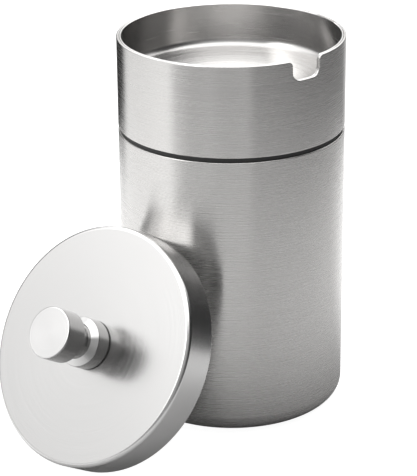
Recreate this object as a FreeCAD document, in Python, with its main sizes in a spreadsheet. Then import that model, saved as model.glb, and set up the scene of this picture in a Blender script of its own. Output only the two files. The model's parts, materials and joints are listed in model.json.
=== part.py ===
"""Tabletop ashtray bin in brushed stainless steel, with its cap leaning against it.

A deep-drawn canister stands on a thin rubber pad. On its mouth sits a lift-off
ash top: an outer collar, a drawn bowl with a conical floor and a drop spout, a
spigot sleeve that centres the top in the canister, and a black seal ring in a
groove of that sleeve. The cap slips over the collar and carries a turned knob.

Millimetres, +Z up. The origin is the middle of the pad's underside, on the
canister's axis. The cap leans on the canister from the -X side.
"""
import FreeCAD, Part

import math
import os

import Sketcher

doc = FreeCAD.newDocument("ashtray_bin")

# Driving dimensions: alias, value, meaning.
DIMENSIONS = [
    ("outer_radius", 37.5, "canister and collar, outside"),
    ("sheet_wall", 0.9, "canister and collar sheet"),
    ("edge_round", 0.3, "dressed sheet edges"),
    ("seam_round", 0.2, "edges where the collar and the bowl meet"),
    ("pad_radius", 29.0, "non-slip pad"),
    ("pad_thickness", 0.6, "non-slip pad"),
    ("base_corner", 6.0, "canister's bottom corner, outside"),
    ("canister_top", 96.2, "height of the canister's mouth"),
    ("collar_bottom", 97.7, "height of the collar's lower edge"),
    ("collar_top", 127.8, "height of the rim"),
    ("notch_width", 11.0, "cigarette rest"),
    ("notch_depth", 6.6, "cigarette rest"),
    ("notch_corner", 3.0, "inside corners of the rest"),
    ("notch_lip", 1.8, "where the rest meets the rim"),
    ("notch_azimuth", -98.75, "degrees, from +X"),
    ("bowl_wall", 0.7, "bowl sheet"),
    ("bowl_floor_edge", 114.0, "height where the cone would meet the wall"),
    ("bowl_fall", 8.8, "drop of the cone from wall to spout"),
    ("bowl_corner", 3.0, "wall to cone, inside"),
    ("spout_radius", 11.0, "drop spout, inside"),
    ("spout_length", 5.0, "drop spout below the cone"),
    ("spout_corner", 2.5, "cone to spout, inside"),
    ("sleeve_bottom", 88.2, "height of the spigot's lower edge"),
    ("sleeve_top", 104.8, "height of the sleeve's upper edge"),
    ("sleeve_inner", 34.8, "sleeve, inside radius"),
    ("spigot_clearance", 0.3, "spigot in the canister's mouth"),
    ("groove_radius", 35.5, "bottom of the seal groove"),
    ("seal_clearance", 0.05, "seal round the groove"),
    ("seal_outer", 36.95, "seal, outside radius"),
    ("seal_round", 0.25, "seal's outer corners"),
    ("cap_radius", 39.25, "cap, outside"),
    ("cap_wall", 1.0, "cap sheet"),
    ("cap_height", 12.2, "cap, top face to skirt edge"),
    ("cap_corner", 1.4, "cap's top corner, outside"),
    ("cap_seal_inner", 37.6, "grip ring in the skirt, inside"),
    ("cap_seal_top", 5.2, "grip ring's upper edge below the top face"),
    ("cap_seal_height", 4.0, "grip ring"),
    ("screw_hole", 2.15, "cap's and rose's hole radius"),
    ("rose_radius", 8.1, "rose under the knob"),
    ("rose_undercut", 0.5, "shadow groove at the rose's foot"),
    ("rose_shoulder", 5.4, "height where the rose's rim turns into its cone"),
    ("rose_edge", 0.35, "rounding of that rim"),
    ("rose_top_radius", 5.9, "upper end of the rose's cone"),
    ("rose_height", 6.9, "height of the rose, where the knob stands on it"),
    ("knob_neck_radius", 5.4, "knob's neck"),
    ("knob_grip_bottom", 12.5, "height of the grip's lower edge"),
    ("knob_grip_radius", 8.3, "grip"),
    ("knob_top", 20.4, "height of the grip's end face"),
    ("knob_neck_round", 1.8, "neck to grip"),
    ("knob_edge_round", 0.45, "grip's edges"),
    ("tap_radius", 2.05, "threaded hole in the knob"),
    ("tap_depth", 8.5, "threaded hole in the knob"),
    ("screw_radius", 2.0, "M4 screw"),
    ("screw_reach", 7.5, "screw in the knob"),
    ("screw_head_radius", 3.9, "pan head"),
    ("screw_head_height", 2.4, "pan head"),
    ("recess_width", 1.1, "cross recess"),
    ("recess_length", 4.4, "cross recess"),
    ("recess_depth", 1.3, "cross recess"),
    ("washer_radius", 5.0, "washer"),
    ("washer_thickness", 0.8, "washer"),
    ("lean_angle", 30.7, "degrees the cap's axis rises above level"),
    ("lean_gap", 0.3, "cap's skirt to the canister's wall"),
]

sheet = doc.addObject("Spreadsheet::Sheet", "Sizes")
for row, (alias, value, meaning) in enumerate(DIMENSIONS, start=1):
    sheet.set(f"A{row}", alias)
    sheet.set(f"B{row}", str(value))
    sheet.set(f"C{row}", meaning)
    sheet.setAlias(f"B{row}", alias)
doc.recompute()


def in_sheet(text):
    """The expression with each alias written as a cell of the sheet."""
    aliases = {alias for alias, _value, _meaning in DIMENSIONS}
    words = text.replace("(", "( ").replace(")", " )").split()
    return " ".join(f"Sizes.{word}" if word in aliases else word for word in words)


def size(text):
    """The number that an expression of aliases comes to."""
    answer = sheet.evalExpression(in_sheet(text))
    return float(getattr(answer, "Value", answer))


def plane(body, role):
    """One of the body's own origin planes."""
    return next(f for f in body.Origin.OriginFeatures if f.Role == role)


def new_body(label):
    body = doc.addObject("PartDesign::Body", label)
    body.Label = label
    return body


def bind(sketch, number, name, text):
    """Names a constraint and ties it to the sheet."""
    sketch.renameConstraint(number, name)
    sketch.setExpression(f"Constraints.{name}", in_sheet(text))


def half_section(body, corners):
    """A closed profile in the XZ plane. Each corner is a radius and a height, both as
    expressions, and "0" puts it on the axis or on the base line."""
    sketch = body.newObject("Sketcher::SketchObject", "Profile")
    sketch.AttachmentSupport = (plane(body, "XZ_Plane"), [""])
    sketch.MapMode = "FlatFace"
    points = [FreeCAD.Vector(size(r), size(h), 0) for r, h in corners]
    count = len(points)
    for i in range(count):
        sketch.addGeometry(Part.LineSegment(points[i], points[(i + 1) % count]), False)
    for i in range(count):
        sketch.addConstraint(Sketcher.Constraint("Coincident", i, 2, (i + 1) % count, 1))
    for i, (radius, height) in enumerate(corners):
        if radius == "0":
            sketch.addConstraint(Sketcher.Constraint("PointOnObject", i, 1, -2))
        else:
            number = sketch.addConstraint(
                Sketcher.Constraint("DistanceX", -1, 1, i, 1, points[i].x)
            )
            bind(sketch, number, f"radius_{i}", radius)
        if height == "0":
            sketch.addConstraint(Sketcher.Constraint("PointOnObject", i, 1, -1))
        else:
            number = sketch.addConstraint(
                Sketcher.Constraint("DistanceY", -1, 1, i, 1, points[i].y)
            )
            bind(sketch, number, f"height_{i}", height)
    return sketch


def turned(label, corners):
    """A body revolved about Z from its half section."""
    body = new_body(label)
    sketch = half_section(body, corners)
    doc.recompute()
    revolution = body.newObject("PartDesign::Revolution", "Turned")
    revolution.Profile = sketch
    revolution.ReferenceAxis = (sketch, ["V_Axis"])
    revolution.Angle = 360.0
    doc.recompute()
    return body


def circles_at(shape, corners):
    """Names of the circular edges round Z that pass through the given corners."""
    wanted = [(size(radius), size(height)) for radius, height in corners]
    names = []
    for number, edge in enumerate(shape.Edges, start=1):
        if not isinstance(edge.Curve, Part.Circle):
            continue
        centre = edge.Curve.Center
        if math.hypot(centre.x, centre.y) > 1e-4:
            continue
        for radius, height in wanted:
            if abs(edge.Curve.Radius - radius) < 1e-4 and abs(centre.z - height) < 1e-4:
                names.append(f"Edge{number}")
    return names


def rounded(body, corners, radius, kind="Fillet"):
    """Fillets or chamfers the circular edges at these corners by an alias."""
    edges = circles_at(body.Tip.Shape, corners)
    if len(edges) < len(corners):
        raise ValueError(f"{body.Label}: an edge to round is missing")
    return dressed(body, edges, radius, kind)


def dressed(body, edges, size_text, kind="Fillet"):
    """Fillets or chamfers named edges of the body's tip."""
    before = body.Tip
    feature = body.newObject(f"PartDesign::{kind}", kind)
    feature.Base = (before, edges)
    property_name = "Radius" if kind == "Fillet" else "Size"
    feature.setExpression(property_name, in_sheet(size_text))
    doc.recompute()
    return feature


def near_edges(shape, accept):
    """Names of the edges whose middle point is accepted."""
    names = []
    for number, edge in enumerate(shape.Edges, start=1):
        middle = edge.valueAt((edge.FirstParameter + edge.LastParameter) / 2)
        if accept(middle, edge):
            names.append(f"Edge{number}")
    return names


# --- Canister -----------------------------------------------------------------


def make_base_pad():
    body = turned(
        "base_pad",
        [("0", "0"), ("pad_radius", "0"), ("pad_radius", "pad_thickness"), ("0", "pad_thickness")],
    )
    rounded(body, [("pad_radius", "0")], "edge_round")
    return body


def make_canister_shell():
    inner = "outer_radius - sheet_wall"
    floor = "pad_thickness + sheet_wall"
    body = turned(
        "canister_shell",
        [
            ("0", "pad_thickness"),
            ("outer_radius", "pad_thickness"),
            ("outer_radius", "canister_top"),
            (inner, "canister_top"),
            (inner, floor),
            ("0", floor),
        ],
    )
    rounded(body, [("outer_radius", "pad_thickness")], "base_corner")
    rounded(body, [(inner, floor)], "base_corner - sheet_wall")
    rounded(body, [("outer_radius", "canister_top")], "edge_round")
    return body


# --- Ash top ------------------------------------------------------------------


def cut_notch(body):
    """Cuts the cigarette rest through the wall on the body's -Y side, and rounds it."""
    half = size("notch_width / 2")
    top = size("collar_top")
    bottom = size("collar_top - notch_depth")
    sketch = body.newObject("Sketcher::SketchObject", "NotchProfile")
    sketch.AttachmentSupport = (plane(body, "XZ_Plane"), [""])
    sketch.MapMode = "FlatFace"
    corners = [(-half, bottom), (half, bottom), (half, top + 1), (-half, top + 1)]
    points = [FreeCAD.Vector(x, y, 0) for x, y in corners]
    for i in range(4):
        sketch.addGeometry(Part.LineSegment(points[i], points[(i + 1) % 4]), False)
    for i in range(4):
        sketch.addConstraint(Sketcher.Constraint("Coincident", i, 2, (i + 1) % 4, 1))
    sketch.addConstraint(Sketcher.Constraint("Horizontal", 0))
    sketch.addConstraint(Sketcher.Constraint("Horizontal", 2))
    sketch.addConstraint(Sketcher.Constraint("Vertical", 1))
    sketch.addConstraint(Sketcher.Constraint("Vertical", 3))
    placed = [
        ("left", ("DistanceX", 0, 1, -1, 1, half), "notch_width / 2"),
        ("width", ("DistanceX", 0, 1, 0, 2, 2 * half), "notch_width"),
        ("bottom", ("DistanceY", -1, 1, 0, 1, bottom), "collar_top - notch_depth"),
        ("top", ("DistanceY", -1, 1, 2, 1, top + 1), "collar_top + 1"),
    ]
    for name, arguments, text in placed:
        bind(sketch, sketch.addConstraint(Sketcher.Constraint(*arguments)), name, text)
    doc.recompute()
    before = body.Tip.Shape.Volume
    pocket = body.newObject("PartDesign::Pocket", "Notch")
    pocket.Profile = sketch
    pocket.Type = "Length"
    pocket.setExpression("Length", in_sheet("outer_radius + 5"))
    doc.recompute()
    if middle_of_cut_is_behind(pocket):
        pocket.Reversed = True
        doc.recompute()
    if pocket.Shape.Volume > before - 1:
        raise ValueError(f"{body.Label}: the notch cut nothing")

    def inside_corner(middle, edge):
        return (
            abs(middle.z - bottom) < 1e-3
            and abs(abs(middle.x) - half) < 1e-3
            and edge.Length < 3
        )

    def lip_corner(middle, edge):
        return (
            abs(middle.z - top) < 1e-3
            and abs(abs(middle.x) - half) < 1e-3
            and edge.Length < 3
        )

    dressed(body, near_edges(body.Tip.Shape, inside_corner), "notch_corner")
    dressed(body, near_edges(body.Tip.Shape, lip_corner), "notch_lip")


def middle_of_cut_is_behind(pocket):
    """True where the pocket opened the wall on the +Y side and left the -Y side whole."""
    reach = size("outer_radius - sheet_wall / 2")
    height = size("collar_top - notch_depth / 2")
    inner_reach = size("outer_radius - sheet_wall - bowl_wall / 2")
    for radius in (reach, inner_reach):
        if pocket.Shape.isInside(FreeCAD.Vector(0, -radius, height), 1e-3, False):
            return True
    return False


def turn_to_notch(body):
    """Turns a piece made with its notch on -Y to the notch's azimuth."""
    angle = size("notch_azimuth") + 90
    body.Placement = FreeCAD.Placement(
        FreeCAD.Vector(), FreeCAD.Rotation(FreeCAD.Vector(0, 0, 1), angle)
    )


def rim_edges(body, radius_text):
    """The closed chain of rim and notch edges that lies on one cylinder round Z."""
    radius = size(radius_text)
    lowest = size("collar_top - notch_depth") - 0.01

    def on_rim(middle, edge):
        ends = [vertex.Point for vertex in edge.Vertexes]
        heights = [point.z for point in ends] + [middle.z]
        spread = [abs(math.hypot(point.x, point.y) - radius) for point in ends + [middle]]
        return min(heights) > lowest and max(spread) < 1e-3

    return near_edges(body.Tip.Shape, on_rim)


def make_ash_collar():
    inner = "outer_radius - sheet_wall"
    body = turned(
        "ash_collar",
        [
            (inner, "collar_bottom"),
            ("outer_radius", "collar_bottom"),
            ("outer_radius", "collar_top"),
            (inner, "collar_top"),
        ],
    )
    cut_notch(body)
    dressed(body, rim_edges(body, "outer_radius"), "edge_round")
    dressed(body, rim_edges(body, inner), "seam_round")
    rounded(body, [("outer_radius", "collar_bottom")], "edge_round")
    turn_to_notch(body)
    return body


def make_ash_bowl():
    """The drawn bowl: wall, conical floor and spout in one sheet."""
    outer = "outer_radius - sheet_wall"
    inner = "outer_radius - sheet_wall - bowl_wall"
    floor_under = "bowl_floor_edge - bowl_wall"
    throat = "bowl_floor_edge - bowl_fall"
    spout_end = "bowl_floor_edge - bowl_fall - spout_length"
    body = turned(
        "ash_bowl",
        [
            (outer, floor_under),
            (outer, "collar_top"),
            (inner, "collar_top"),
            (inner, "bowl_floor_edge"),
            ("spout_radius", throat),
            ("spout_radius", spout_end),
            ("spout_radius + bowl_wall", spout_end),
            ("spout_radius + bowl_wall", "bowl_floor_edge - bowl_fall - bowl_wall"),
        ],
    )
    rounded(body, [(inner, "bowl_floor_edge")], "bowl_corner")
    rounded(body, [(outer, floor_under)], "bowl_corner")
    rounded(body, [("spout_radius", throat)], "spout_corner")
    rounded(
        body,
        [("spout_radius + bowl_wall", "bowl_floor_edge - bowl_fall - bowl_wall")],
        "spout_corner - bowl_wall",
    )
    cut_notch(body)
    dressed(body, rim_edges(body, inner), "edge_round")
    dressed(body, rim_edges(body, outer), "seam_round")
    turn_to_notch(body)
    return body


def make_spigot_sleeve():
    """Pressed into the collar, rebated to slip into the canister, grooved for the seal."""
    spigot = "outer_radius - sheet_wall - spigot_clearance"
    body = turned(
        "spigot_sleeve",
        [
            ("sleeve_inner", "sleeve_bottom"),
            (spigot, "sleeve_bottom"),
            (spigot, "canister_top"),
            ("groove_radius", "canister_top"),
            ("groove_radius", "collar_bottom"),
            ("outer_radius - sheet_wall", "collar_bottom"),
            ("outer_radius - sheet_wall", "sleeve_top"),
            ("sleeve_inner", "sleeve_top"),
        ],
    )
    rounded(body, [(spigot, "sleeve_bottom")], "edge_round", "Chamfer")
    return body


def make_seal_ring():
    inner = "groove_radius + seal_clearance"
    body = turned(
        "seal_ring",
        [
            (inner, "canister_top"),
            ("seal_outer", "canister_top"),
            ("seal_outer", "collar_bottom"),
            (inner, "collar_bottom"),
        ],
    )
    rounded(body, [("seal_outer", "canister_top"), ("seal_outer", "collar_bottom")], "seal_round")
    return body


# --- Cap, made upright with its top face at the origin, then leant -------------


def lean(body):
    """Leans a cap piece on the canister. The skirt's rounded edge stands on the table at
    its lowest point, and at its highest it is a hair's breadth from the wall."""
    angle = math.radians(size("lean_angle"))
    depth = size("cap_height - edge_round")
    radius = size("cap_radius - edge_round")
    reach = size("outer_radius + lean_gap + edge_round")
    centre = FreeCAD.Vector(
        -(reach + depth * math.cos(angle) + radius * math.sin(angle)),
        0,
        size("edge_round") + depth * math.sin(angle) + radius * math.cos(angle),
    )
    tilt = FreeCAD.Rotation(FreeCAD.Vector(0, 1, 0), size("lean_angle") - 90)
    body.Placement = FreeCAD.Placement(centre, tilt)


def make_cap_shell():
    inner = "cap_radius - cap_wall"
    ceiling = "0 - cap_wall"
    skirt = "0 - cap_height"
    body = turned(
        "cap_shell",
        [
            ("screw_hole", "0"),
            ("cap_radius", "0"),
            ("cap_radius", skirt),
            (inner, skirt),
            (inner, ceiling),
            ("screw_hole", ceiling),
        ],
    )
    rounded(body, [("cap_radius", "0")], "cap_corner")
    rounded(body, [(inner, ceiling)], "cap_corner - cap_wall")
    rounded(body, [("cap_radius", skirt), (inner, skirt)], "edge_round")
    lean(body)
    return body


def make_cap_seal():
    outer = "cap_radius - cap_wall"
    top = "0 - cap_seal_top"
    bottom = "0 - cap_seal_top - cap_seal_height"
    body = turned(
        "cap_grip_ring",
        [("cap_seal_inner", bottom), (outer, bottom), (outer, top), ("cap_seal_inner", top)],
    )
    rounded(body, [("cap_seal_inner", bottom), ("cap_seal_inner", top)], "edge_round")
    lean(body)
    return body


def make_knob_rose():
    waist = "rose_radius - rose_undercut"
    body = turned(
        "knob_rose",
        [
            ("screw_hole", "0"),
            (waist, "0"),
            (waist, "rose_undercut"),
            ("rose_radius", "rose_undercut"),
            ("rose_radius", "rose_shoulder"),
            ("rose_top_radius", "rose_height"),
            ("screw_hole", "rose_height"),
        ],
    )
    rounded(body, [("rose_radius", "rose_shoulder")], "rose_edge")
    lean(body)
    return body


def make_knob():
    tap_end = "rose_height + tap_depth"
    body = turned(
        "knob",
        [
            ("tap_radius", "rose_height"),
            ("knob_neck_radius", "rose_height"),
            ("knob_neck_radius", "knob_grip_bottom"),
            ("knob_grip_radius", "knob_grip_bottom"),
            ("knob_grip_radius", "knob_top"),
            ("0", "knob_top"),
            ("0", tap_end),
            ("tap_radius", tap_end),
        ],
    )
    rounded(body, [("knob_neck_radius", "knob_grip_bottom")], "knob_neck_round")
    rounded(
        body,
        [("knob_grip_radius", "knob_grip_bottom"), ("knob_grip_radius", "knob_top")],
        "knob_edge_round",
    )
    lean(body)
    return body


def make_knob_washer():
    top = "0 - cap_wall"
    bottom = "0 - cap_wall - washer_thickness"
    body = turned(
        "knob_washer",
        [("screw_hole", bottom), ("washer_radius", bottom), ("washer_radius", top), ("screw_hole", top)],
    )
    lean(body)
    return body


def make_knob_screw():
    """Pan-head screw with a cross recess, from under the cap into the knob."""
    seat = "0 - cap_wall - washer_thickness"
    head = "0 - cap_wall - washer_thickness - screw_head_height"
    tip = "rose_height + screw_reach"
    body = turned(
        "knob_screw",
        [
            ("0", head),
            ("screw_head_radius", head),
            ("screw_head_radius", seat),
            ("screw_radius", seat),
            ("screw_radius", tip),
            ("0", tip),
        ],
    )
    rounded(body, [("screw_head_radius", head)], "screw_head_height / 2")
    rounded(body, [("screw_radius", tip)], "edge_round", "Chamfer")
    for number in range(2):
        slot = body.newObject("PartDesign::SubtractiveBox", f"Recess{number}")
        long_side, short_side = ("Length", "Width") if number == 0 else ("Width", "Length")
        slot.setExpression(long_side, in_sheet("recess_length"))
        slot.setExpression(short_side, in_sheet("recess_width"))
        slot.setExpression("Height", in_sheet("recess_depth"))
        slot.AttachmentOffset = FreeCAD.Placement(
            FreeCAD.Vector(
                -size("recess_length" if number == 0 else "recess_width") / 2,
                -size("recess_width" if number == 0 else "recess_length") / 2,
                size(head),
            ),
            FreeCAD.Rotation(),
        )
        slot.AttachmentSupport = (plane(body, "XY_Plane"), [""])
        slot.MapMode = "FlatFace"
        doc.recompute()
    lean(body)
    return body


parts = [
    make_base_pad(),
    make_canister_shell(),
    make_ash_collar(),
    make_ash_bowl(),
    make_spigot_sleeve(),
    make_seal_ring(),
    make_cap_shell(),
    make_cap_seal(),
    make_knob_rose(),
    make_knob(),
    make_knob_washer(),
    make_knob_screw(),
]
doc.recompute()

for thing in doc.Objects:
    if "Invalid" in thing.State or "Error" in thing.State:
        raise ValueError(f"{thing.Label} did not build: {thing.State}")
for part in parts:
    shape = part.Shape
    if shape.isNull() or not shape.isValid() or len(shape.Solids) != 1:
        raise ValueError(f"{part.Label} is not one valid solid")

os.makedirs("parts", exist_ok=True)
for part in parts:
    part.Shape.exportStep(os.path.join("parts", part.Label + ".step"))
    box = part.Shape.BoundBox
    print(
        f"{part.Label:16s} {part.Shape.Volume:9.1f} mm3  "
        f"x {box.XMin:7.2f} {box.XMax:7.2f}  y {box.YMin:7.2f} {box.YMax:7.2f}  "
        f"z {box.ZMin:7.2f} {box.ZMax:7.2f}"
    )
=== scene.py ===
import json
import math

import bmesh
import bpy
from mathutils import Matrix, Vector


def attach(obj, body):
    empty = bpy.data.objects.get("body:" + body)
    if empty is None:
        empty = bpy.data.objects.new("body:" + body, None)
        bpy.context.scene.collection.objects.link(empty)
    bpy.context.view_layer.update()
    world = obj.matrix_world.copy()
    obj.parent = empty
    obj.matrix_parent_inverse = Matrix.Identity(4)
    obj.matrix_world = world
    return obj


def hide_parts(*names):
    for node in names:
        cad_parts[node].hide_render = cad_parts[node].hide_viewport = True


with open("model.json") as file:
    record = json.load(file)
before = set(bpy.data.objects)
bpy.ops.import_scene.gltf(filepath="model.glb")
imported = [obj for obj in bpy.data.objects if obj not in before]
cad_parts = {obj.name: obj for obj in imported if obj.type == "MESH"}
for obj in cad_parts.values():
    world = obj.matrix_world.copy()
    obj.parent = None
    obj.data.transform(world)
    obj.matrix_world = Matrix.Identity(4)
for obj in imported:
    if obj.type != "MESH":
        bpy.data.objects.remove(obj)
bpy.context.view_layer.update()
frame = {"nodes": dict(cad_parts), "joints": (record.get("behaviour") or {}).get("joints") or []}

MM = 0.001

# --- Camera ---------------------------------------------------------------------

CAMERA_PLACE = Vector((-0.4705, -0.4203, 0.3109))
CAMERA_HEADING = math.radians(-47.5)
CAMERA_PITCH = math.radians(22.01)
CAMERA_ROLL = math.radians(-0.51)
CAMERA_LENS = 151.7
SENSOR_WIDTH = 36.0
VIEW_REACH = 50.0


def make_camera():
    data = bpy.data.cameras.new("camera")
    data.lens = CAMERA_LENS
    data.sensor_width = SENSOR_WIDTH
    data.clip_end = VIEW_REACH
    camera = bpy.data.objects.new("camera", data)
    bpy.context.scene.collection.objects.link(camera)
    turn = (
        Matrix.Rotation(CAMERA_HEADING, 4, "Z")
        @ Matrix.Rotation(math.pi / 2 - CAMERA_PITCH, 4, "X")
        @ Matrix.Rotation(CAMERA_ROLL, 4, "Z")
    )
    camera.matrix_world = Matrix.Translation(CAMERA_PLACE) @ turn
    bpy.context.scene.camera = camera


# --- Shader nodes -----------------------------------------------------------------


def link(tree, a, out, b, into):
    tree.links.new(a.outputs[out], b.inputs[into])


def mapped(tree, source, out, low, high, to_low=0.0, to_high=1.0):
    """One range of values carried over to another, and held at its ends."""
    node = tree.nodes.new("ShaderNodeMapRange")
    node.inputs["From Min"].default_value = low
    node.inputs["From Max"].default_value = high
    node.inputs["To Min"].default_value = to_low
    node.inputs["To Max"].default_value = to_high
    link(tree, source, out, node, "Value")
    return node


def maths(tree, operation):
    node = tree.nodes.new("ShaderNodeMath")
    node.operation = operation
    return node


def vector_maths(tree, operation):
    node = tree.nodes.new("ShaderNodeVectorMath")
    node.operation = operation
    return node


def new_material(name):
    """A material, its tree and its shader."""
    material = bpy.data.materials.new(name)
    material.use_nodes = True
    tree = material.node_tree
    return material, tree, tree.nodes["Principled BSDF"]


# --- Light ----------------------------------------------------------------------

# What stands round the object, as (degrees, brightness) pairs: 0 is the camera's side,
# negative is to the camera's left. The brightnesses were tuned. One row is for
# what lies lower than BELOW_TO degrees, one is for what lies between LEVEL_FROM and
# LEVEL_TO, and one starts at ABOVE_FROM. Between them, one row gives way to the next.
BELOW = [
    (-180, 0.90), (-172, 0.40), (-166, 0.04), (-140, 0.04), (-130, 1.15), (-66, 1.30),
    (-57, 0.64), (-40, 0.60), (-22, 0.66), (-10, 0.54), (4, 0.54), (16, 0.62), (22, 0.33),
    (45, 0.28), (80, 0.20), (120, 0.20), (150, 0.30), (162, 0.80), (180, 0.90),
]
LEVEL = [
    (-180, 0.90), (-172, 0.40), (-166, 0.04), (-140, 0.04), (-130, 0.50), (-105, 0.60),
    (-75, 0.90), (-66, 0.90), (-57, 0.50), (-40, 0.40), (4, 0.40), (22, 0.20), (45, 0.10),
    (80, 0.03), (130, 0.03), (150, 0.30), (162, 0.80), (180, 0.90),
]
ABOVE = [
    (-180, 3.40), (-150, 2.80), (-130, 0.60), (-118, 1.90), (-106, 2.20), (-80, 2.20),
    (-71, 4.00), (-55, 4.00), (-46, 0.50), (-34, 0.50), (-20, 0.60), (32, 0.50),
    (44, 0.20), (56, 0.02), (100, 0.02), (118, 1.60), (150, 3.20), (180, 3.40),
]
BELOW_TO, LEVEL_FROM, LEVEL_TO, ABOVE_FROM = -14.0, 2.0, 10.0, 40.0

# Overhead it is the same all round.
OVERHEAD = 2.6
OVERHEAD_FROM, OVERHEAD_FULL = 48.0, 62.0

# The floor, which the steel doesn't see.
FLOOR_REACH = 6.0
FLOOR_DROP = 0.2 * MM
FLOOR_WHITE = 0.3
FLOOR_GLOW = 0.95

# How light the table looks in the steel, by the same degrees, which is painted light, and a painted
# contact shadow that darkens
# it close to the object: TABLE_DARK of that up to one distance, and all of it from another.
TABLE = [
    (-180, 0.85), (-60, 0.85), (-40, 0.56), (20, 0.50), (26, 0.50), (110, 0.58),
    (150, 0.85), (180, 0.85),
]
TABLE_REACH = 0.28
TABLE_DROP = 0.1 * MM
TABLE_DARK, TABLE_DARK_TO, TABLE_LIGHT_FROM = 0.50, 0.045, 0.115

DISC_SIDES = 96


def bearing(tree, place):
    """0 to 1 round the vertical through the origin, 0.5 on the camera's side."""
    turned_to = tree.nodes.new("ShaderNodeVectorRotate")
    turned_to.rotation_type = "Z_AXIS"
    turned_to.inputs["Angle"].default_value = -CAMERA_HEADING
    tree.links.new(place, turned_to.inputs["Vector"])
    split = tree.nodes.new("ShaderNodeSeparateXYZ")
    link(tree, turned_to, "Vector", split, 0)
    towards = maths(tree, "MULTIPLY")
    towards.inputs[1].default_value = -1.0
    link(tree, split, "Y", towards, 0)
    angle = maths(tree, "ARCTAN2")
    link(tree, split, "X", angle, 0)
    link(tree, towards, 0, angle, 1)
    return mapped(tree, angle, 0, -math.pi, math.pi), split


def ramp_round(tree, share, stops):
    """Brightness by bearing."""
    ramp = tree.nodes.new("ShaderNodeValToRGB")
    link(tree, share, 0, ramp, 0)
    elements = ramp.color_ramp.elements
    elements.remove(elements[0])
    for number, (degrees, level) in enumerate(stops):
        place = (degrees + 180) / 360
        element = elements[0] if number == 0 else elements.new(place)
        element.position = place
        element.color = (level, level, level, 1)
    return ramp


def rising(tree, split, start, end):
    """0 below one elevation and 1 above another, both in degrees."""
    low = math.sin(math.radians(start))
    high = math.sin(math.radians(end))
    height = mapped(tree, split, "Z", low, high)
    height.interpolation_type = "SMOOTHSTEP"
    return height


def over(tree, first, out, second, share):
    """One colour giving way to another."""
    mix = tree.nodes.new("ShaderNodeMix")
    mix.data_type = "RGBA"
    link(tree, share, 0, mix, 0)
    link(tree, first, out, mix, 6)
    link(tree, second, 0, mix, 7)
    return mix


def surroundings(tree):
    """The three rows and what is overhead, as one colour."""
    where = tree.nodes.new("ShaderNodeTexCoord")
    share, split = bearing(tree, where.outputs["Generated"])
    below = ramp_round(tree, share, BELOW)
    level = ramp_round(tree, share, LEVEL)
    above = ramp_round(tree, share, ABOVE)
    overhead = tree.nodes.new("ShaderNodeRGB")
    overhead.outputs[0].default_value = (OVERHEAD, OVERHEAD, OVERHEAD, 1)
    lower = over(tree, below, 0, level, rising(tree, split, BELOW_TO, LEVEL_FROM))
    walls = over(tree, lower, 2, above, rising(tree, split, LEVEL_TO, ABOVE_FROM))
    return over(tree, walls, 2, overhead, rising(tree, split, OVERHEAD_FROM, OVERHEAD_FULL))


def make_studio():
    """The light, and plain white where the camera looks past the floor."""
    world = bpy.data.worlds.new("studio")
    bpy.context.scene.world = world
    world.use_nodes = True
    tree = world.node_tree
    tree.nodes.clear()
    lit = tree.nodes.new("ShaderNodeBackground")
    link(tree, surroundings(tree), 2, lit, 0)
    seen = tree.nodes.new("ShaderNodeBackground")
    seen.inputs[0].default_value = (1, 1, 1, 1)
    ray = tree.nodes.new("ShaderNodeLightPath")
    choose = tree.nodes.new("ShaderNodeMixShader")
    link(tree, ray, "Is Camera Ray", choose, 0)
    link(tree, lit, 0, choose, 1)
    link(tree, seen, 0, choose, 2)
    out = tree.nodes.new("ShaderNodeOutputWorld")
    link(tree, choose, 0, out, 0)
    bpy.context.scene.view_settings.view_transform = "Standard"


def disc(name, reach, drop):
    """A round sheet just under the object that casts no shadow."""
    mesh = bpy.data.meshes.new(name)
    shape = bmesh.new()
    bmesh.ops.create_circle(shape, cap_ends=True, segments=DISC_SIDES, radius=reach)
    shape.to_mesh(mesh)
    shape.free()
    sheet = bpy.data.objects.new(name, mesh)
    bpy.context.scene.collection.objects.link(sheet)
    sheet.location.z = -drop
    sheet.visible_shadow = False
    material, tree, shader = new_material(name)
    shader.inputs["Roughness"].default_value = 1.0
    shader.inputs["Specular IOR Level"].default_value = 0.0
    mesh.materials.append(material)
    return sheet, tree, shader


def make_floor():
    """The white floor, which only the camera and matt surfaces see."""
    floor, _tree, shader = disc("floor", FLOOR_REACH, FLOOR_DROP)
    shader.inputs["Base Color"].default_value = (FLOOR_WHITE, FLOOR_WHITE, FLOOR_WHITE, 1)
    shader.inputs["Emission Color"].default_value = (1, 1, 1, 1)
    shader.inputs["Emission Strength"].default_value = FLOOR_GLOW
    floor.visible_glossy = False


def make_table():
    """What the steel sees in the floor's place, darker and with an edge, with painted light by
    bearing and a painted contact shadow near the object.
    """
    table, tree, shader = disc("table", TABLE_REACH, TABLE_DROP)
    where = tree.nodes.new("ShaderNodeTexCoord")
    share, _split = bearing(tree, where.outputs["Object"])
    reach = vector_maths(tree, "LENGTH")
    link(tree, where, "Object", reach, 0)
    # Painted light by bearing, times a painted contact shadow that falls to TABLE_DARK close to the
    # object.
    painted_contact_shadow = mapped(tree, reach, "Value", TABLE_DARK_TO, TABLE_LIGHT_FROM, to_low=TABLE_DARK)
    shade = vector_maths(tree, "SCALE")
    link(tree, ramp_round(tree, share, TABLE), 0, shade, 0)
    link(tree, painted_contact_shadow, 0, shade, "Scale")
    link(tree, shade, 0, shader, "Base Color")
    table.visible_camera = False
    table.visible_diffuse = False
    table.visible_transmission = False


# --- Materials --------------------------------------------------------------------

GRAIN_LENGTH = 40 * MM
GRAIN_PITCH = 0.3 * MM
GRAIN_DETAIL = 3.0
GRAIN_ROUGHNESS = 0.65

# The part of the noise's range that most of it lies in.
NOISE_LOW, NOISE_HIGH = 0.3, 0.7

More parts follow.
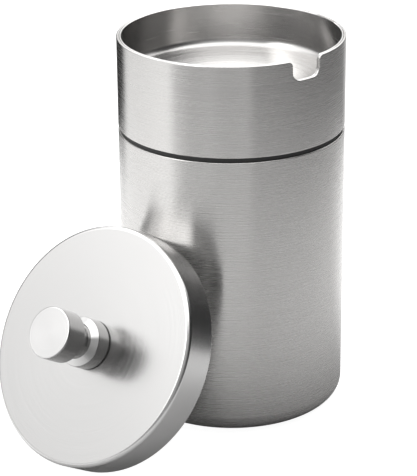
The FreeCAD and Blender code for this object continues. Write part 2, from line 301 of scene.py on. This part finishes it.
# How far up a surface faces: less than the first is a wall, more than the second a face. Walls get
# the painted wall shade.
WALL_TO, FACE_FROM = 0.75, 0.9

ROUGHNESS_SPREAD = 0.15
QUARTER_TURN = 0.25
STEEL_BUMP = 0.045
BUMP_DEPTH = 0.02 * MM

RUBBER_GRAINS = 3000.0
RUBBER_ROUGHNESS = 0.6
RUBBER_BUMP = 0.2


def bumped(tree, shader, grain, strength):
    """Fine relief from a noise."""
    bump = tree.nodes.new("ShaderNodeBump")
    bump.inputs["Strength"].default_value = strength
    bump.inputs["Distance"].default_value = BUMP_DEPTH
    link(tree, grain, 0, bump, "Height")
    link(tree, bump, 0, shader, "Normal")


def brush_grain(tree, where):
    """Noise in streaks: long round the Z axis, fine across them on walls and faces."""
    split = tree.nodes.new("ShaderNodeSeparateXYZ")
    link(tree, where, "Object", split, 0)
    flat = tree.nodes.new("ShaderNodeCombineXYZ")
    link(tree, split, "X", flat, 0)
    link(tree, split, "Y", flat, 1)
    reach = vector_maths(tree, "LENGTH")
    link(tree, flat, 0, reach, 0)
    across = maths(tree, "SUBTRACT")
    link(tree, split, "Z", across, 0)
    link(tree, reach, "Value", across, 1)
    fine = maths(tree, "MULTIPLY")
    fine.inputs[1].default_value = 1 / GRAIN_PITCH
    link(tree, across, 0, fine, 0)
    along = vector_maths(tree, "SCALE")
    along.inputs["Scale"].default_value = 1 / GRAIN_LENGTH
    link(tree, flat, 0, along, 0)
    spread = tree.nodes.new("ShaderNodeSeparateXYZ")
    link(tree, along, 0, spread, 0)
    grain_at = tree.nodes.new("ShaderNodeCombineXYZ")
    link(tree, spread, "X", grain_at, 0)
    link(tree, spread, "Y", grain_at, 1)
    link(tree, fine, 0, grain_at, 2)
    grain = tree.nodes.new("ShaderNodeTexNoise")
    grain.inputs["Scale"].default_value = 1.0
    grain.inputs["Detail"].default_value = GRAIN_DETAIL
    grain.inputs["Roughness"].default_value = GRAIN_ROUGHNESS
    link(tree, grain_at, 0, grain, "Vector")
    return grain


def brushed_colour(tree, where, grain, colour, streaks, painted_wall_shade):
    """The colour, lighter and darker with the grain, and times the wall shade factor on walls,
    which is painted shade.
    """
    tone = mapped(tree, grain, 0, NOISE_LOW, NOISE_HIGH, 1 - streaks, 1 + streaks)
    facing = tree.nodes.new("ShaderNodeSeparateXYZ")
    link(tree, where, "Normal", facing, 0)
    # Painted shade: walls get their colour times the wall shade factor, darker than what faces up
    # along Z.
    wall = mapped(tree, facing, "Z", WALL_TO, FACE_FROM, to_low=painted_wall_shade)
    shade = maths(tree, "MULTIPLY")
    link(tree, tone, 0, shade, 0)
    link(tree, wall, 0, shade, 1)
    shaded = vector_maths(tree, "SCALE")
    shaded.inputs[0].default_value = colour
    link(tree, shade, 0, shaded, "Scale")
    return shaded


def brushed(name, colour, roughness, anisotropy, streaks=0.04, painted_wall_shade=1.0):
    """Steel brushed round its own Z axis. `streaks` is how much the grain changes the colour, and
    the wall shade factor how light the walls are painted beside what faces up along Z: painted
    shade, not a difference in the steel."""
    material, tree, shader = new_material(name)
    shader.inputs["Metallic"].default_value = 1.0
    shader.inputs["Anisotropic"].default_value = anisotropy
    shader.inputs["Anisotropic Rotation"].default_value = QUARTER_TURN
    tangent = tree.nodes.new("ShaderNodeTangent")
    tangent.direction_type = "RADIAL"
    tangent.axis = "Z"
    link(tree, tangent, 0, shader, "Tangent")
    where = tree.nodes.new("ShaderNodeTexCoord")
    grain = brush_grain(tree, where)
    tinted = brushed_colour(tree, where, grain, colour, streaks, painted_wall_shade)
    link(tree, tinted, 0, shader, "Base Color")
    smooth = roughness * (1 - ROUGHNESS_SPREAD)
    rough = roughness * (1 + ROUGHNESS_SPREAD)
    link(tree, mapped(tree, grain, 0, NOISE_LOW, NOISE_HIGH, smooth, rough), 0, shader, "Roughness")
    bumped(tree, shader, grain, STEEL_BUMP)
    return material


def rubber(name, colour):
    """Matt rubber with a fine grain."""
    material, tree, shader = new_material(name)
    shader.inputs["Base Color"].default_value = (*colour, 1)
    shader.inputs["Roughness"].default_value = RUBBER_ROUGHNESS
    where = tree.nodes.new("ShaderNodeTexCoord")
    grain = tree.nodes.new("ShaderNodeTexNoise")
    grain.inputs["Scale"].default_value = RUBBER_GRAINS
    link(tree, where, "Object", grain, "Vector")
    bumped(tree, shader, grain, RUBBER_BUMP)
    return material


CANISTER_STEEL = brushed("canister_steel", (0.60, 0.59, 0.58), 0.27, 0.9)
COLLAR_STEEL = brushed("collar_steel", (0.59, 0.58, 0.57), 0.26, 0.85)
# Painted shade: the bowl's walls are painted at 0.76 of the colour of what faces up.
BOWL_STEEL = brushed("bowl_steel", (0.66, 0.65, 0.64), 0.24, 0.8, painted_wall_shade=0.76)
CAP_STEEL = brushed("cap_steel", (0.62, 0.615, 0.61), 0.22, 0.3, streaks=0.01)
# Painted shade: the knob's and rose's sides are painted at 0.38 of the colour of what faces out
# along their Z.
KNOB_STEEL = brushed("knob_steel", (0.72, 0.715, 0.71), 0.18, 0.6, painted_wall_shade=0.38)
SCREW_STEEL = brushed("fastener_steel", (0.50, 0.50, 0.50), 0.30, 0.2)
BLACK_RUBBER = rubber("black_rubber", (0.012, 0.012, 0.012))

# The CAD pieces that are kept. The others are replaced by turned pieces.
PAINTS = {
    "canister_shell": CANISTER_STEEL,
    "ash_collar": COLLAR_STEEL,
    "ash_bowl": BOWL_STEEL,
    "spigot_sleeve": BOWL_STEEL,
    "knob_washer": SCREW_STEEL,
    "knob_screw": SCREW_STEEL,
    "base_pad": BLACK_RUBBER,
    "seal_ring": BLACK_RUBBER,
    "cap_grip_ring": BLACK_RUBBER,
}


def paint(node, material):
    data = frame["nodes"][node].data
    data.materials.clear()
    data.materials.append(material)


# --- Cap pieces, each turned about its own Z axis ---------------------------------

# In millimetres. Heights are from the cap's top face, with Z out along the knob.
CAP_RADIUS = 39.25
CAP_WALL = 1.0
CAP_SKIRT = 12.2
CAP_CORNER = 1.4
RIM_ROUND = 0.3
SHARP_EDGE = 0.05

SCREW_HOLE = 2.15
ROSE_RADIUS = 8.1
ROSE_UNDERCUT = 0.5
ROSE_UNDERCUT_EDGE = 0.08
ROSE_SHOULDER = 5.4
ROSE_EDGE = 0.35
ROSE_TOP_RADIUS = 5.9
ROSE_TOP_EDGE = 0.1
ROSE_HEIGHT = 6.9

TAP_RADIUS = 2.05
TAP_END = 15.4
KNOB_NECK_RADIUS = 5.4
KNOB_NECK_EDGE = 0.1
KNOB_NECK_ROUND = 1.8
KNOB_GRIP_BOTTOM = 12.5
KNOB_GRIP_RADIUS = 8.3
KNOB_EDGE_ROUND = 0.45
KNOB_TOP = 20.4

# Closer to the axis than this, in metres, a point is on it.
ON_AXIS = 1e-9


def outline(corners, steps=10):
    """A profile's points and outward normals. The corners go anticlockwise, and each
    is (radius, height, rounding)."""
    points = []
    count = len(corners)
    for i, (r, z, rounding) in enumerate(corners):
        here = Vector((r, z))
        before = Vector(corners[i - 1][:2])
        after = Vector(corners[(i + 1) % count][:2])
        come = (here - before).normalized()
        go = (after - here).normalized()
        turn = come.angle_signed(go)
        if r < ON_AXIS:
            points.append((here, Vector((0, 1 if come.x < 0 or go.x < 0 else -1))))
            continue
        back_off = rounding * math.tan(abs(turn) / 2)
        start = here - come * back_off
        left = Vector((-come.y, come.x))
        side = 1 if come.x * go.y - come.y * go.x > 0 else -1
        centre = start + left * side * rounding
        for k in range(steps + 1):
            angle = abs(turn) * k / steps * side
            spoke = Matrix.Rotation(angle, 2) @ (-left * side)
            points.append((centre + spoke * rounding, spoke * side))
    return points


def turned(name, corners, material, body, node, place, segments=240):
    """A closed piece of revolution with exact normals, in a frame of its own."""
    profile = outline([(r * MM, z * MM, f * MM) for r, z, f in corners])
    verts, normals, faces = [], [], []
    rows = []
    for point, normal in profile:
        if point.x < ON_AXIS:
            rows.append([len(verts)])
            verts.append((0, 0, point.y))
            normals.append((0, 0, normal.y))
            continue
        row = []
        for k in range(segments):
            a = 2 * math.pi * k / segments
            row.append(len(verts))
            verts.append((point.x * math.cos(a), point.x * math.sin(a), point.y))
            normals.append((normal.x * math.cos(a), normal.x * math.sin(a), normal.y))
        rows.append(row)
    for i, row in enumerate(rows):
        following = rows[(i + 1) % len(rows)]
        if len(row) == 1 and len(following) == 1:
            continue
        for k in range(segments):
            n = (k + 1) % segments
            if len(row) == 1:
                faces.append((row[0], following[n], following[k]))
            elif len(following) == 1:
                faces.append((row[k], row[n], following[0]))
            else:
                faces.append((row[k], row[n], following[n], following[k]))
    mesh = bpy.data.meshes.new(name)
    mesh.from_pydata(verts, [], faces)
    mesh.materials.append(material)
    mesh.shade_smooth()
    mesh.normals_split_custom_set_from_vertices(normals)
    mesh.update()
    piece = bpy.data.objects.new(name, mesh)
    bpy.context.scene.collection.objects.link(piece)
    piece.matrix_world = place
    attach(piece, body)
    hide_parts(node)


def cap_place():
    """The cap's own frame: its top face's centre, with Z out along the knob."""
    pull = next(j for j in frame["joints"] if j["name"] == "cap_pull")
    out = Vector(pull["axis"]).normalized()
    side = Vector((0, 1, 0))
    up = side.cross(out)
    verts = [v.co for v in frame["nodes"]["cap_shell"].data.vertices]
    top = max(v.dot(out) for v in verts)
    heights = [v.dot(up) for v in verts]
    middle = (min(heights) + max(heights)) / 2
    centre = out * top + up * middle
    turn = Matrix((up, side, out)).transposed().to_4x4()
    return Matrix.Translation(centre) @ turn


def make_cap_shell(place):
    inside = CAP_RADIUS - CAP_WALL
    corners = [
        (SCREW_HOLE, 0, SHARP_EDGE),
        (SCREW_HOLE, -CAP_WALL, SHARP_EDGE),
        (inside, -CAP_WALL, CAP_CORNER - CAP_WALL),
        (inside, -CAP_SKIRT, RIM_ROUND),
        (CAP_RADIUS, -CAP_SKIRT, RIM_ROUND),
        (CAP_RADIUS, 0, CAP_CORNER),
    ]
    turned("cap_shell_turned", corners, CAP_STEEL, "cap", "cap_shell", place)


def make_knob_rose(place):
    waist = ROSE_RADIUS - ROSE_UNDERCUT
    corners = [
        (SCREW_HOLE, 0, SHARP_EDGE),
        (waist, 0, SHARP_EDGE),
        (waist, ROSE_UNDERCUT, SHARP_EDGE),
        (ROSE_RADIUS, ROSE_UNDERCUT, ROSE_UNDERCUT_EDGE),
        (ROSE_RADIUS, ROSE_SHOULDER, ROSE_EDGE),
        (ROSE_TOP_RADIUS, ROSE_HEIGHT, ROSE_TOP_EDGE),
        (SCREW_HOLE, ROSE_HEIGHT, SHARP_EDGE),
    ]
    turned("knob_rose_turned", corners, KNOB_STEEL, "cap", "knob_rose", place)


def make_knob(place):
    corners = [
        (TAP_RADIUS, ROSE_HEIGHT, SHARP_EDGE),
        (KNOB_NECK_RADIUS, ROSE_HEIGHT, KNOB_NECK_EDGE),
        (KNOB_NECK_RADIUS, KNOB_GRIP_BOTTOM, KNOB_NECK_ROUND),
        (KNOB_GRIP_RADIUS, KNOB_GRIP_BOTTOM, KNOB_EDGE_ROUND),
        (KNOB_GRIP_RADIUS, KNOB_TOP, KNOB_EDGE_ROUND),
        (0, KNOB_TOP, 0),
        (0, TAP_END, 0),
        (TAP_RADIUS, TAP_END, SHARP_EDGE),
    ]
    turned("knob_turned", corners, KNOB_STEEL, "cap", "knob", place)


def make_cap():
    place = cap_place()
    make_cap_shell(place)
    make_knob_rose(place)
    make_knob(place)


make_camera()
make_studio()
make_floor()
make_table()
make_cap()
for part, material in PAINTS.items():
    paint(part, material)
